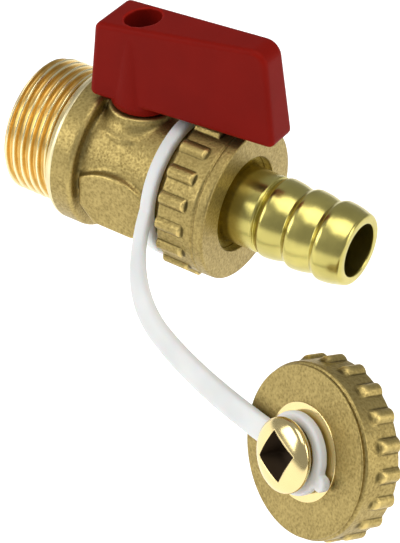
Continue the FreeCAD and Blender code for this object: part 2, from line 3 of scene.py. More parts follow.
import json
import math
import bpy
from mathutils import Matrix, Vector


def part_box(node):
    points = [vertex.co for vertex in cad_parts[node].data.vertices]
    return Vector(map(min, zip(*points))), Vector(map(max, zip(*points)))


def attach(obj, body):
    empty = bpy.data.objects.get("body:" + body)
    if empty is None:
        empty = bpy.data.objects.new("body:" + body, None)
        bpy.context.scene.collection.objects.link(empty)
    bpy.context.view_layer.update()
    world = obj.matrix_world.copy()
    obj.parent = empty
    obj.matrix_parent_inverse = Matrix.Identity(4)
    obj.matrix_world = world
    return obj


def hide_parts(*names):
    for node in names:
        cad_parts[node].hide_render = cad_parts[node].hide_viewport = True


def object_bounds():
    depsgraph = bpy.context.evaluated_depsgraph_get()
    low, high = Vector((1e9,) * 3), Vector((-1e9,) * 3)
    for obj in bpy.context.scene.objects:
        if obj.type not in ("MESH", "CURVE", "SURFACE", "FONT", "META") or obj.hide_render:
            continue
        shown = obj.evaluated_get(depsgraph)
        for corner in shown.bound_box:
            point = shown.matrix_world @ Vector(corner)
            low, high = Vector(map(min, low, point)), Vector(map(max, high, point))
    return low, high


bl_info = {
    "name": "Drain cock dressing",
    "version": (1, 0, 0),
    "blender": (4, 5, 0),
    "location": "View3D > Sidebar > Drain cock",
    "description": "Builds the finished surfaces of a brass drain cock round its packed solids",
    "category": "Object",
}

import bmesh
import bpy
import numpy as np
from bpy.props import FloatProperty, FloatVectorProperty, IntProperty, PointerProperty
from mathutils import Matrix, Vector

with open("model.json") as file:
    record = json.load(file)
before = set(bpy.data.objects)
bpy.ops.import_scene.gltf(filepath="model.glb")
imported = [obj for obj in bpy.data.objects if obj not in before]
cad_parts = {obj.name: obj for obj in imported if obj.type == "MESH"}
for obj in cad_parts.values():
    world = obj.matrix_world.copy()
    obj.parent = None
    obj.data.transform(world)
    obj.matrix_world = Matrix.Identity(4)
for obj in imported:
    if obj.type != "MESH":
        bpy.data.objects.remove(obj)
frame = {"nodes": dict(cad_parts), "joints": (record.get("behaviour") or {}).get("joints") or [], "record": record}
CAD_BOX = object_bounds()

MM = 0.001
MOUNTS = {mount["name"]: mount for mount in frame["record"]["mounts"]}
JOINTS = {joint["name"]: joint for joint in frame["joints"]}
THREAD_RADIUS = MOUNTS["inlet_thread"]["dims"]["r_mm"] * MM
BODY_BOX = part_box("valve_body")
NUT_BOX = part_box("union_nut")
TAIL_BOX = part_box("hose_tail")
X, Y, Z = np.eye(3)
CAP_OUT = np.array(JOINTS["cap_spin"]["axis"], float)
CAP_OUT = CAP_OUT / np.linalg.norm(CAP_OUT)
CAP_SIDE = np.cross(CAP_OUT, Z) / np.linalg.norm(np.cross(CAP_OUT, Z))
CAP_UP = np.cross(CAP_OUT, CAP_SIDE)
EYE_MIDDLE = np.array(JOINTS["cap_spin"]["pos_m"], float)
FLOW = (np.zeros(3), X, Y, Z)
FULL_TURN = 2.0 * math.pi

# Fineness of the meshes: the step along a section, and the columns round its axis
THREAD_STEP, THREAD_COLUMNS = 0.12 * MM, 180
SHOULDER_STEP, SHOULDER_COLUMNS = 0.5 * MM, 160
NUT_STEP, NUT_COLUMNS = 0.25 * MM, 480
TAIL_STEP, TAIL_COLUMNS = 0.3 * MM, 192
CAP_STEP, CAP_COLUMNS = 0.4 * MM, 400
BOSS_COLUMNS, DOME_ROWS, UNDER_ROWS = 128, 26, 9
HOOP_ROWS, BAND_ROWS, OVAL_COLUMNS = 120, 60, 28

# Form of the pipe thread, as shares of its pitch or depth
ROOT_SHARE = 0.46         # of the pitch lies flat in the root
FLANK_SHARE = 0.44        # of the pitch climbs to the crest or falls from it
LEAD_START = 0.05         # of the depth stands where the bevel begins
GROOVE_FLAT = 0.15        # of the end groove's length lies at the full depth

# Small distances between shells
CUT_REACH = 0.2 * MM      # points of a section this near the thread's outside are cut
SLEEVE_WALL = 1.2 * MM    # from a thread's roots to the sleeve's inner wall, inside the casting
CORE_SINK = 0.4 * MM      # the casting lies this far under the roots
SHOULDER_SINK = 0.5 * MM  # and the machined shoulder's inner wall this far
SKIN = 0.04 * MM          # the machined shoulder stands this far over the casting
CAP_SINK = 0.5 * MM       # the cap's ring and boss reach this far under its face
BROKEN_EDGE = 0.08 * MM   # bevel round the mouth of the cap's socket
RIB_LEAD = 0.4 * MM       # ribs rise over this length at their full end
RIB_SKIN = (0.7 * MM, 0.1 * MM)   # depths under the base between which a rib's lift fades in

# Other shapes and finishes
WAIST_SHARE = 0.42        # of the boss's head lies under its widest place
OBLONG_POWER = 0.55       # power of cos and sin in the strap's rounded oblong section
FINE = (3.0, 0.6)         # detail and roughness of a fine noise


def length(name, description, millimetres):
    """A length property of a piece, kept in metres."""
    return FloatProperty(name=name, description=description, default=millimetres * MM,
                         unit="LENGTH", precision=5)


def angle(name, description, degrees):
    """An angle property of a piece, kept in radians."""
    return FloatProperty(name=name, description=description, default=math.radians(degrees),
                         subtype="ANGLE")


def colour(name, description, rgb):
    """A colour property of a finish, in linear light."""
    return FloatVectorProperty(name=name, description=description, default=rgb, size=3,
                               subtype="COLOR", min=0.0, max=1.0)


class DRAINCOCK_PG_body(bpy.types.PropertyGroup):
    pitch: length("Thread pitch", "Distance between two crests of the pipe thread", 1.814)
    depth: length("Thread depth", "Height of a crest above its root", 1.0)
    bevel: length("Lead-in", "Bevel at the start of a thread", 1.0)
    relief: length("Relief", "Plain groove between the inlet thread and the collar", 0.9)
    outlet_relief: length("Outlet relief", "Plain groove between the outlet thread and the neck", 0.5)
    voxel: length("Cast grid", "Grid on which the casting's edges are softened", 0.37)
    seat: length("Seat radius", "Radius where the machined shoulder of the collar begins", 14.0)
    collar: length("Collar radius", "Radius of the collar", 15.0)
    shoulder: length("Shoulder", "Length of the machined shoulder of the collar", 1.3)
    band: length("Machined band", "Length of the collar that is machined behind its shoulder", 0.5)


class DRAINCOCK_PG_nut(bpy.types.PropertyGroup):
    ribs: IntProperty(name="Ribs", description="Grip ribs round the nut", default=18, min=3)
    rib_turn: angle("Rib turn", "Place of the first rib round the nut", 17.0)
    base: length("Base radius", "Radius between the ribs", 14.75)
    rib_top: length("Rib radius", "Radius over the ribs", 15.6)
    rib_round: length("Rib rounding", "Radius of a rib's own section", 1.3)
    rib_length: length("Rib length", "Length of a rib from the back face", 5.6)
    hole: length("Front hole", "Radius of the hole round the hose tail", 9.2)
    wall: length("Front wall", "Thickness of the front wall", 1.8)
    bore: length("Bore", "Radius of the threaded bore", 13.3)


class DRAINCOCK_PG_tail(bpy.types.PropertyGroup):
    bore: length("Bore", "Radius of the waterway", 5.06)
    flange: length("Flange radius", "Radius of the flange inside the nut", 12.6)
    flange_thick: length("Flange", "Thickness of the flange", 1.75)
    neck: length("Neck radius", "Radius of the plain part ahead of the nut", 7.4)
    plain: length("Plain length", "Length from the nut's face to the first barb", 5.9)
    valley: length("Valley radius", "Radius between two barbs", 6.9)
    barbs: IntProperty(name="Barbs", description="Hose barbs on the tail", default=3, min=1)
    barb_pitch: length("Barb pitch", "Distance from barb to barb", 5.9)
    barb_rise: length("Barb rise", "Length of a barb's steep side", 1.2)


class DRAINCOCK_PG_cap(bpy.types.PropertyGroup):
    ribs: IntProperty(name="Ribs", description="Grip ribs round the cap", default=19, min=3)
    rib_turn: angle("Rib turn", "Place of the first rib round the cap", 215.58)
    face: length("Face radius", "Radius of the cap's flat face", 15.2)
    base: length("Base radius", "Radius between the ribs", 15.7)
    rib_top: length("Rib radius", "Radius over the ribs", 16.5)
    rib_round: length("Rib rounding", "Radius of a rib's own section", 1.4)
    rib_length: length("Rib length", "Length of a rib from the open end", 5.0)
    depth: length("Depth", "Height of the cap behind its face", 8.2)
    roof: length("Roof", "Thickness of the cap's face wall", 2.7)
    gasket: length("Gasket", "Thickness of the gasket under the roof", 1.5)
    gasket_radius: length("Gasket radius", "Radius of the recess for the gasket", 12.88)
    ring: length("Machined ring", "Radius of the machined ring round the boss", 8.8)
    ring_height: length("Ring height", "Height of the machined ring over the face", 0.2)
    neck: length("Boss neck", "Radius of the boss under its head", 4.8)
    neck_height: length("Neck height", "Height of the boss under its head", 2.7)
    head: length("Boss head", "Radius of the boss's rounded head", 6.7)
    head_height: length("Head height", "Height of the rounded head", 3.6)
    socket: length("Socket", "Side of the square socket", 6.5)
    socket_depth: length("Socket depth", "Depth of the square socket", 4.6)
    socket_turn: angle("Socket turn", "Place of a corner of the square socket", 32.0)


class DRAINCOCK_PG_strap(bpy.types.PropertyGroup):
    ring_inner: length("Ring radius", "Inner radius of the ring on the neck", 12.3)
    ring_thick: length("Ring thickness", "Thickness of the ring, outward", 2.2)
    ring_width: length("Ring width", "Width of the ring along the flow axis", 2.6)
    band_width: length("Band width", "Width of the band at its widest", 5.0)
    band_thick: length("Band thickness", "Thickness of the band", 2.0)
    eye_inner: length("Eye radius", "Inner radius of the eye on the cap's boss", 5.1)
    eye_wall: length("Eye wall", "Width of the eye's rim", 2.3)
    eye_thick: length("Eye thickness", "Thickness of the eye", 2.0)
    drop_out: length("First bend, outward", "Place of the band's first bend, out from the ring", 7.2)
    drop_down: length("First bend, down", "Place of the band's first bend, below the axis", 11.8)
    lead: length("Second bend", "From the eye's middle to the band's second bend", 29.1)
    turn: angle("Lead turn", "Turn of the band's way to the eye", 8.2)
    nub: length("Nub", "Radius of the pull nub on the eye", 1.5)
    nub_stand: length("Nub stand", "Middle of the nub outside the eye's edge", 0.5)
    nub_turn: angle("Nub turn", "Place of the pull nub round the eye", 173.0)
    voxel: length("Mould grid", "Grid on which the strap's edges are softened", 0.22)


class DRAINCOCK_PG_lever(bpy.types.PropertyGroup):
    back: length("Back", "From the stem to the lever's back end", 7.8)
    reach: length("Reach", "From the stem to the lever's tip", 30.1)
    widen: FloatProperty(name="Widening", description="How much wider the moulding is at its back end",
                         default=0.15, min=0.0, max=0.3)
    hub: length("Hub", "Height of the hub's foot, which stays narrow to clear the collar", 1.4)
    voxel: length("Mould grid", "Grid on which the lever's edges are softened", 0.25)


class DRAINCOCK_PG_finish(bpy.types.PropertyGroup):
    cast_dark: colour("Cast brass, hollows", "Colour in the grain's hollows", (0.25, 0.185, 0.060))
    cast_light: colour("Cast brass, peaks", "Colour on the grain's peaks", (0.44, 0.335, 0.122))
    cut: colour("Machined brass", "Colour of machined faces and of a thread's crests", (0.88, 0.77, 0.46))
    # painted shade: the root colour is darker and deeper than cut brass, standing in for shade and light bounced
    # between the flanks
    root: colour("Thread roots", "Colour of the film left in a thread's roots", (0.72, 0.47, 0.14))
    turned: colour("Turned brass", "Colour of the turned hose tail", (0.60, 0.52, 0.155))
    polished: colour("Polished boss", "Colour of the cap's polished boss", (0.82, 0.66, 0.31))
    red: colour("Lever red", "Colour of the moulded lever", (0.185, 0.0055, 0.0025))
    white: colour("Strap white", "Colour of the moulded strap", (0.70, 0.705, 0.69))


class DRAINCOCK_PG_stage(bpy.types.PropertyGroup):
    azimuth: angle("Azimuth", "Camera's turn round the valve", 33.27)
    elevation: angle("Elevation", "Camera's height angle", 37.95)
    roll: angle("Roll", "Camera's roll", 1.23)
    distance: length("Distance", "From the camera to the aim point", 450.75)
    lens: FloatProperty(name="Lens", description="Focal length on a 36 mm frame, in millimetres",
                        default=162.59)
    aim: length("Aim", "Place of the aim on the flow axis", 30.0)
    shift_right: length("Aim, right", "Aim moved to the right of the picture", -4.01)
    shift_up: length("Aim, up", "Aim moved up in the picture", -14.2)
    floor_drop: length("Floor", "Floor below the lowest point of the part", 25.0)


def settings():
    """The scene's own copy of all sizes and colours."""
    return bpy.context.scene.drain_cock


class DRAINCOCK_PG_all(bpy.types.PropertyGroup):
    body: PointerProperty(type=DRAINCOCK_PG_body)
    nut: PointerProperty(type=DRAINCOCK_PG_nut)
    tail: PointerProperty(type=DRAINCOCK_PG_tail)
    cap: PointerProperty(type=DRAINCOCK_PG_cap)
    strap: PointerProperty(type=DRAINCOCK_PG_strap)
    lever: PointerProperty(type=DRAINCOCK_PG_lever)
    finish: PointerProperty(type=DRAINCOCK_PG_finish)
    stage: PointerProperty(type=DRAINCOCK_PG_stage)


# Surfaces worked out as arrays


def smoothstep(low, high, value):
    """0 below low, 1 above high, and the cubic 3t^2 - 2t^3 between."""
    t = np.clip((value - low) / (high - low), 0.0, 1.0)
    return t * t * (3.0 - 2.0 * t)


def soft_max(a, b, blend):
    """The larger of two heights with a rounded meeting: (a + b + root((a - b)^2 + blend^2)) / 2."""
    return (a + b + np.sqrt((a - b) ** 2 + blend ** 2)) / 2.0


def quadratic(t, start, control, end):
    """Quadratic curve from start to end: (1 - t)^2 start + 2 t (1 - t) control + t^2 end."""
    return (1 - t) ** 2 * start + 2 * t * (1 - t) * control + t ** 2 * end


def angles(count):
    """Angles spread evenly round a circle, from 0."""
    return np.linspace(0.0, FULL_TURN, count, endpoint=False)


def rounded(corners, samples=7):
    """Closed section of corners (along, out, radius), each replaced by a quadratic curve.

    The curve starts and ends the radius away along the corner's two sides, or at most 0.45 of a
    side, and the corner is its middle control point.
    """
    corners = np.array(corners, float)
    points = corners[:, :2]
    before = np.roll(points, 1, axis=0) - points
    after = np.roll(points, -1, axis=0) - points
    size_before = np.linalg.norm(before, axis=1)
    size_after = np.linalg.norm(after, axis=1)
    reach = np.minimum(corners[:, 2], 0.45 * np.minimum(size_before, size_after))
    start = points + before * (reach / size_before)[:, None]
    end = points + after * (reach / size_after)[:, None]
    t = np.linspace(0.0, 1.0, samples)[None, :, None]
    return quadratic(t, start[:, None], points[:, None], end[:, None]).reshape(-1, 2)


def resampled(section, step):
    """A closed section with extra points on its long sides, none further apart than step."""
    ends = np.vstack([section, section[:1]])
    run = np.concatenate([[0.0], np.cumsum(np.linalg.norm(np.diff(ends, axis=0), axis=1))])
    count = max(8, int(run[-1] / step))
    at = np.unique(np.concatenate([np.linspace(0.0, run[-1], count, endpoint=False), run[:-1]]))
    return np.stack([np.interp(at, run, ends[:, 0]), np.interp(at, run, ends[:, 1])], axis=1)


def turned_shell(section, axes, columns, relief=None):
    """Section turned round an axis: middle + along * a + (side cos t + up sin t) * r(a, t)."""
    middle, along, side, up = axes
    t = angles(columns)[None, :]
    a = section[:, :1]
    r = np.repeat(section[:, 1:], columns, axis=1)
    if relief is not None:
        r = relief(a, r, t)
    a = np.broadcast_to(a, r.shape)
    ring = side * np.cos(t)[..., None] + up * np.sin(t)[..., None]
    return middle + along * a[..., None] + ring * r[..., None]


def grid_quads(rows, columns):
    """Corner numbers of the faces of a grid that closes on itself both ways."""
    i, j = np.meshgrid(np.arange(rows), np.arange(columns), indexing="ij")
    down = (i + 1) % rows
    right = (j + 1) % columns
    corners = [(i, j), (i, right), (down, right), (down, j)]
    return np.stack([row * columns + column for row, column in corners], axis=-1).reshape(-1, 4)


def closed_tube(points, caps=False):
    """Vertices and faces of a closed grid, or of a tube whose two end rows are filled."""
    rows, columns = points.shape[:2]
    quads = grid_quads(rows, columns)
    faces = quads.tolist()
    if caps:
        faces = quads[: (rows - 1) * columns].tolist()
        faces.append(list(range(columns)))
        faces.append(list(range((rows - 1) * columns, rows * columns)))
    return points.reshape(-1, 3), faces


def mark_bend(mesh, rounds):
    """Keeps on each point how far it stands over its surroundings, in metres, as the attribute bend.

    The surroundings are the points moved a few rounds to the mean of their neighbours, and the
    distance is taken along the normal, so outer edges are above 0 and hollows below.
    """
    count = len(mesh.vertices)
    place = np.empty(count * 3)
    normal = np.empty(count * 3)
    ends = np.empty(len(mesh.edges) * 2, np.int32)
    mesh.vertices.foreach_get("co", place)
    mesh.vertices.foreach_get("normal", normal)
    mesh.edges.foreach_get("vertices", ends)
    place, normal, ends = place.reshape(-1, 3), normal.reshape(-1, 3), ends.reshape(-1, 2)
    first, second = np.concatenate([ends, ends[:, ::-1]]).T
    neighbours = np.maximum(np.bincount(first, minlength=count), 1)
    mean = place
    for _ in range(rounds):
        sums = [np.bincount(first, mean[second, axis], count) for axis in range(3)]
        mean = np.stack(sums, axis=1) / neighbours[:, None]
    bend = np.sum((place - mean) * normal, axis=1)
    mesh.attributes.new("bend", "FLOAT", "POINT").data.foreach_set("value", bend.astype(np.float32))


def joined(shells):
    """Vertices and faces of several shells as one mesh."""
    offsets = np.cumsum([0] + [len(shell[0]) for shell in shells])
    faces = []
    for shell, offset in zip(shells, offsets):
        faces += [[k + int(offset) for k in face] for face in shell[1]]
    return np.vstack([shell[0] for shell in shells]), faces


def piece(name, shells, body, nodes, bend_rounds=4):
    """One object from shells of (vertices, faces, material), riding on a body in place of its nodes.

    bend_rounds says how wide a point's surroundings are taken when its bend is marked.
    """
    mesh = bpy.data.meshes.new(name)
    vertices, faces = joined(shells)
    mesh.from_pydata(vertices.tolist(), [], faces)
    materials = []
    for shell in shells:
        if shell[2] not in materials:
            materials.append(shell[2])
    for material in materials:
        mesh.materials.append(material)
    index = [np.full(len(shell[1]), materials.index(shell[2]), np.int32) for shell in shells]
    index = np.concatenate(index)
    mesh.polygons.foreach_set("material_index", index)
    mesh.polygons.foreach_set("use_smooth", np.ones(len(index), bool))
    tidy = bmesh.new()
    tidy.from_mesh(mesh)
    bmesh.ops.remove_doubles(tidy, verts=tidy.verts, dist=1e-7)
    bmesh.ops.recalc_face_normals(tidy, faces=tidy.faces)
    tidy.to_mesh(mesh)
    tidy.free()
    mesh.update()
    mark_bend(mesh, bend_rounds)
    made = bpy.data.objects.new(name, mesh)
    bpy.context.scene.collection.objects.link(made)
    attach(made, body)
    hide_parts(*nodes)
    return made


def softened(vertices, faces, voxel, rounds):
    """Vertices and faces of a solid remade on a fine grid and smoothed, as a mould softens edges."""
    mesh = bpy.data.meshes.new("soften")
    mesh.from_pydata(np.asarray(vertices).tolist(), [], faces)
    helper = bpy.data.objects.new("soften", mesh)
    bpy.context.scene.collection.objects.link(helper)
    remesh = helper.modifiers.new("grid", "REMESH")
    remesh.mode = "VOXEL"
    remesh.voxel_size = voxel
    smooth = helper.modifiers.new("soft", "SMOOTH")
    smooth.factor = 0.5
    smooth.iterations = rounds
    done = helper.evaluated_get(bpy.context.evaluated_depsgraph_get()).to_mesh()
    co = np.empty(len(done.vertices) * 3)
    done.vertices.foreach_get("co", co)
    made = [list(polygon.vertices) for polygon in done.polygons]
    bpy.data.objects.remove(helper)
    bpy.data.meshes.remove(mesh)
    return co.reshape(-1, 3), made


def node_solid(name):
    """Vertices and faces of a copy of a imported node, its loose triangles merged."""
    copy = bmesh.new()
    copy.from_mesh(frame["nodes"][name].data)
    bmesh.ops.remove_doubles(copy, verts=copy.verts, dist=1e-6)
    vertices = np.array([v.co[:] for v in copy.verts])
    faces = [[v.index for v in f.verts] for f in copy.faces]
    copy.free()
    return vertices, faces


def thread_relief(pitch, depth, start, end, lead, relief):
    """Right-hand thread cut into a turned section.

    The height is a triangle wave of (a / pitch - turn) with flat roots and crests, held down to a
    bevel at the start and to a plain groove at the end.
    """
    def cut(a, r, t):
        phase = (a / pitch - t / FULL_TURN) % 1.0
        wave = np.abs(2.0 * phase - 1.0)
        crest = np.clip((wave - ROOT_SHARE) / FLANK_SHARE, 0.0, 1.0)
        bevel = np.clip(np.abs(a - start) / lead, 0.0, 1.0)
        groove = np.clip(np.abs(end - a) / relief - GROOVE_FLAT, 0.0, 1.0)
        height = np.minimum(crest, np.minimum(bevel + LEAD_START, groove))
        return np.where(r > THREAD_RADIUS - CUT_REACH, r - depth * (1.0 - height), r)
    return cut


def thread_shell(start, end, sizes, relief):
    """Threaded sleeve between two places on the flow axis; its inner wall lies in the casting."""
    inner = THREAD_RADIUS - sizes.depth - SLEEVE_WALL
    a = np.linspace(min(start, end), max(start, end), int(abs(end - start) / THREAD_STEP))
    outer = np.stack([a, np.full_like(a, THREAD_RADIUS)], axis=1)
    back = np.array([[a[-1], inner], [a[0], inner]])
    section = np.vstack([outer, back])
    cut = thread_relief(sizes.pitch, sizes.depth, start, end, sizes.bevel, relief)
    return closed_tube(turned_shell(section, FLOW, THREAD_COLUMNS, cut))


def rib_relief(sizes, low, high, end_soft, blend):
    """Grip ribs on a turned section: each is a bar of round section, soft_max-ed with the base.

    Between low and high the ribs stand full; past high they sink to the base over end_soft.
    """
    count, base, rib_round = sizes.ribs, sizes.base, sizes.rib_round
    middle = sizes.rib_top - rib_round

    def raise_ribs(a, r, t):
        turn = ((t - sizes.rib_turn) * count / FULL_TURN + 0.5) % 1.0 - 0.5
        off = turn * FULL_TURN / count
        across = middle * np.sin(off)
        bar = middle * np.cos(off) + np.sqrt(np.clip(rib_round ** 2 - across ** 2, 0.0, None))
        stands = smoothstep(high + end_soft, high, a) * smoothstep(low - RIB_LEAD, low, a)
        height = (soft_max(bar, base, blend) - base) * stands
        return r + height * smoothstep(base - RIB_SKIN[0], base - RIB_SKIN[1], r)
    return raise_ribs


# Finishes


class Socket:
    """An output of a finish's nodes. Arithmetic on it adds Math nodes."""

    def __init__(self, finish, link):
        self.finish = finish
        self.link = link

    def math(self, operation, first, second):
        return self.finish.node("ShaderNodeMath", {"operation": operation}, {0: first, 1: second})

    def __add__(self, other):
        return self.math("ADD", self, other)

    def __radd__(self, other):
        return self.math("ADD", other, self)

    def __rsub__(self, other):
        return self.math("SUBTRACT", other, self)

    def __mul__(self, other):
        return self.math("MULTIPLY", self, other)

    def __rmul__(self, other):
        return self.math("MULTIPLY", other, self)


class Finish:
    """A material with one Principled shader, built by expressions on sockets."""

    def __init__(self, name, **constants):
        self.material = bpy.data.materials.new(name)
        self.material.use_nodes = True
        self.tree = self.material.node_tree
        self.shader = self.tree.nodes["Principled BSDF"]
        for key, value in constants.items():
            self.shader.inputs[key.replace("_", " ")].default_value = value

    def node(self, kind, options=None, inputs=None, output=0):
        """Adds a node: its options first, then values or links of its inputs; gives one output."""
        made = self.tree.nodes.new(kind)
        for key, value in (options or {}).items():
            setattr(made, key, value)
        for key, value in (inputs or {}).items():
            if isinstance(value, Socket):
                self.tree.links.new(value.link, made.inputs[key])
            else:
                made.inputs[key].default_value = value
        return Socket(self, made.outputs[output])

    def feed(self, **values):
        """Links sockets to the shader's varying inputs."""
        for key, value in values.items():
            self.tree.links.new(value.link, self.shader.inputs[key.replace("_", " ")])

    def place(self):
        """Place of a point in its object's own frame."""
        return self.node("ShaderNodeTexCoord", output="Object")

    def along(self, place, direction):
        """Distance of a place along a direction."""
        return self.node("ShaderNodeVectorMath", {"operation": "DOT_PRODUCT"},
                         {0: place, 1: tuple(direction)}, output="Value")

    def noise(self, place, size, detail=2.0, rough=0.5):
        """Noise from 0 to 1 whose lumps are about size metres across."""
        return self.node("ShaderNodeTexNoise", None,
                         {"Vector": place, "Scale": 1.0 / size, "Detail": detail, "Roughness": rough})

    def cells(self, place, size):
        """Distance to the nearest of scattered points about size metres apart."""
        return self.node("ShaderNodeTexVoronoi", None, {"Vector": place, "Scale": 1.0 / size})

    def spread(self, value, low, high):
        """0 to 1 as a value goes smoothly from low to high."""
        return self.node("ShaderNodeMapRange", {"interpolation_type": "SMOOTHSTEP"},
                         {"Value": value, "From Min": low, "From Max": high})

    def mix(self, factor, first, second):
        """Two colours mixed by a factor."""
        def rgba(c):
            return c if isinstance(c, Socket) else (*c[:3], 1.0)
        return self.node("ShaderNodeMix", {"data_type": "RGBA"},
                         {0: factor, 6: rgba(first), 7: rgba(second)}, output=2)

    def bent(self, low, high):
        """0 to 1 as the surface goes from standing low to standing high over its surroundings."""
        bend = self.node("ShaderNodeAttribute", {"attribute_name": "bend"}, output="Fac")
        return self.spread(bend, low, high)

    def bump(self, height, strength, distance):
        """Normals tilted as if the surface rose by a height."""
        return self.node("ShaderNodeBump", None,
                         {"Height": height, "Strength": strength, "Distance": distance})


def shade(rgb, factor):
    """A colour made darker or lighter."""
    return tuple(min(1.0, c * factor) for c in rgb)


def cast_brass():
    """Blasted casting: grain in colour, gloss and height, slow clouds, painted shade in hollows, painted highlight
    on edges.
    """
    tones = settings().finish
    f = Finish("cast_brass", Metallic=1.0)
    place = f.place()
    grain = f.noise(place, 0.55 * MM, *FINE)
    speck = f.cells(place, 0.5 * MM)
    cloud = f.noise(place, 5.0 * MM)
    level = f.spread(grain * 0.75 + speck * 0.35 + cloud * 0.25, 0.35, 0.95)
    # painted shade: where the surface sinks below its surroundings the colour goes to a dark brown, standing in
    # for the shade in hollows and at rib feet
    clear_of_painted_shade = f.bent(-0.12 * MM, -0.015 * MM)
    # painted highlight: where the surface stands over its surroundings the colour goes half again lighter,
    # standing in for light caught on edges
    edge = f.bent(0.02 * MM, 0.13 * MM)
    skin = f.mix(level, tones.cast_dark, tones.cast_light)
    skin = f.mix(clear_of_painted_shade, shade(tones.cast_dark, 0.4), skin)
    f.feed(Base_Color=f.mix(edge, skin, shade(tones.cast_light, 1.5)),
           Roughness=0.54 - 0.14 * level,
           Normal=f.bump(grain + speck * 0.6, 0.45, 0.10 * MM))
    return f.material


def cut_brass(name, rgb, roughness, line):
    """Machined brass: fine rings of the tool round the flow axis, and a faint stain."""
    f = Finish(name, Metallic=1.0)
    place = f.place()
    rings = f.noise(f.along(place, X), line, 2.0, 0.6)
    stain = f.noise(place, 6.0 * MM, *FINE)
    f.feed(Base_Color=f.mix(f.spread(stain, 0.35, 0.75), shade(rgb, 0.82), rgb),
           Roughness=roughness + 0.10 * stain,
           Normal=f.bump(rings, 0.06, 0.02 * MM))
    return f.material


def thread_brass():
    """Cut pipe thread: pale crests, and a darker, deeper brown in the roots that is painted shade and
    interreflection, by distance from the flow axis.
    """
    tones = settings().finish
    depth = settings().body.depth
    f = Finish("thread_brass", Metallic=1.0)
    place = f.place()
    across = f.node("ShaderNodeVectorMath", {"operation": "MULTIPLY"}, {0: place, 1: tuple(Y + Z)})
    radius = f.node("ShaderNodeVectorMath", {"operation": "LENGTH"}, {0: across}, output="Value")
    crest = f.spread(radius, THREAD_RADIUS - 0.6 * depth, THREAD_RADIUS - 0.05 * depth)
    stain = f.noise(place, 4.0 * MM, *FINE)
    # painted shade: the roots take a darker, deeper brown, standing in for shade and interreflection between the
    # flanks
    painted_root_shade = f.mix(f.spread(stain, 0.3, 0.7), shade(tones.root, 0.82), shade(tones.root, 1.1))
    f.feed(Base_Color=f.mix(crest, painted_root_shade, tones.cut),
           Roughness=0.36 - 0.16 * crest,
           Normal=f.bump(f.noise(place, 0.5 * MM), 0.05, 0.03 * MM))
    return f.material


def polished_brass():
    """Polished boss of the cap, with faint smears."""
    f = Finish("polished_brass", Metallic=1.0)
    place = f.place()
    smear = f.noise(place, 3.0 * MM, *FINE)
    rgb = settings().finish.polished
    f.feed(Base_Color=f.mix(smear, shade(rgb, 0.9), rgb), Roughness=0.10 + 0.12 * smear,
           Normal=f.bump(f.noise(place, 0.8 * MM), 0.03, 0.03 * MM))
    return f.material


def moulded_plastic(name, rgb, roughness, grain, edge, **constants):
    """Moulded plastic: a fine texture of the mould, faint flow clouds in its colour, edges lightened as a painted
    highlight.
    """
    f = Finish(name, **constants)
    place = f.place()
    texture = f.noise(place, grain)
    flow = f.noise(place, 9.0 * MM)
    skin = f.mix(f.spread(flow, 0.3, 0.7), shade(rgb, 0.94), shade(rgb, 1.04))
    # painted highlight: outer edges lightened by the share edge, standing in for the light they catch
    f.feed(Base_Color=f.mix(f.bent(0.02 * MM, 0.12 * MM), skin, shade(rgb, 1.0 + edge)),
           Roughness=roughness + 0.12 * texture,
           Normal=f.bump(texture, 0.08, 0.05 * MM))
    return f.material


def plain_finish(name, rgb, metallic, roughness, grain):
    """Finish of a small or hidden piece: its own colour with a fine grain."""
    f = Finish(name, Metallic=metallic)
    texture = f.noise(f.place(), grain, *FINE)
    f.feed(Base_Color=f.mix(texture, shade(rgb, 0.88), shade(rgb, 1.08)),
           Roughness=roughness + 0.15 * texture,
           Normal=f.bump(texture, 0.1, 0.03 * MM))
    return f.material


FINISHES = {}


def finish(name):
    """Makes each finish once, by its name."""
    tones = settings().finish
    makers = {
        "cast": cast_brass,
        "thread": thread_brass,
        "shoulder": lambda: cut_brass("shoulder_brass", tones.cut, 0.32, 0.15 * MM),
        "turned": lambda: cut_brass("turned_brass", tones.turned, 0.20, 0.2 * MM),
        "polished": polished_brass,
        # the red lever's 0.55 is its painted edge highlight
        "red": lambda: moulded_plastic("red_plastic", tones.red, 0.40, 0.35 * MM, 0.55,
                                       Specular_IOR_Level=0.05),
        "white": lambda: moulded_plastic("white_plastic", tones.white, 0.42, 0.5 * MM, 0.0,
                                         Subsurface_Weight=0.25, Subsurface_Scale=0.6 * MM),
        "chrome": lambda: plain_finish("plated_ball", (0.75, 0.76, 0.78), 1.0, 0.06, 2.0 * MM),
        "ptfe": lambda: plain_finish("ptfe", (0.80, 0.80, 0.78), 0.0, 0.45, 0.8 * MM),
        # painted shade: the socket's inside is near-black brown for the shade that fills it
        "socket": lambda: plain_finish("socket_shade", (0.05, 0.028, 0.010), 0.5, 0.6, 0.4 * MM),
        "rubber": lambda: plain_finish("seal_rubber", (0.02, 0.02, 0.02), 0.0, 0.6, 0.4 * MM),
        "steel": lambda: plain_finish("zinc_steel", (0.62, 0.63, 0.65), 1.0, 0.28, 0.3 * MM),
    }
    if name not in FINISHES:
        FINISHES[name] = makers[name]()
    return FINISHES[name]


def paint(nodes, name):
    """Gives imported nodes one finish."""
    for node in nodes:
        data = frame["nodes"][node].data
        data.materials.clear()
        data.materials.append(finish(name))


# Operators, one for each piece or group


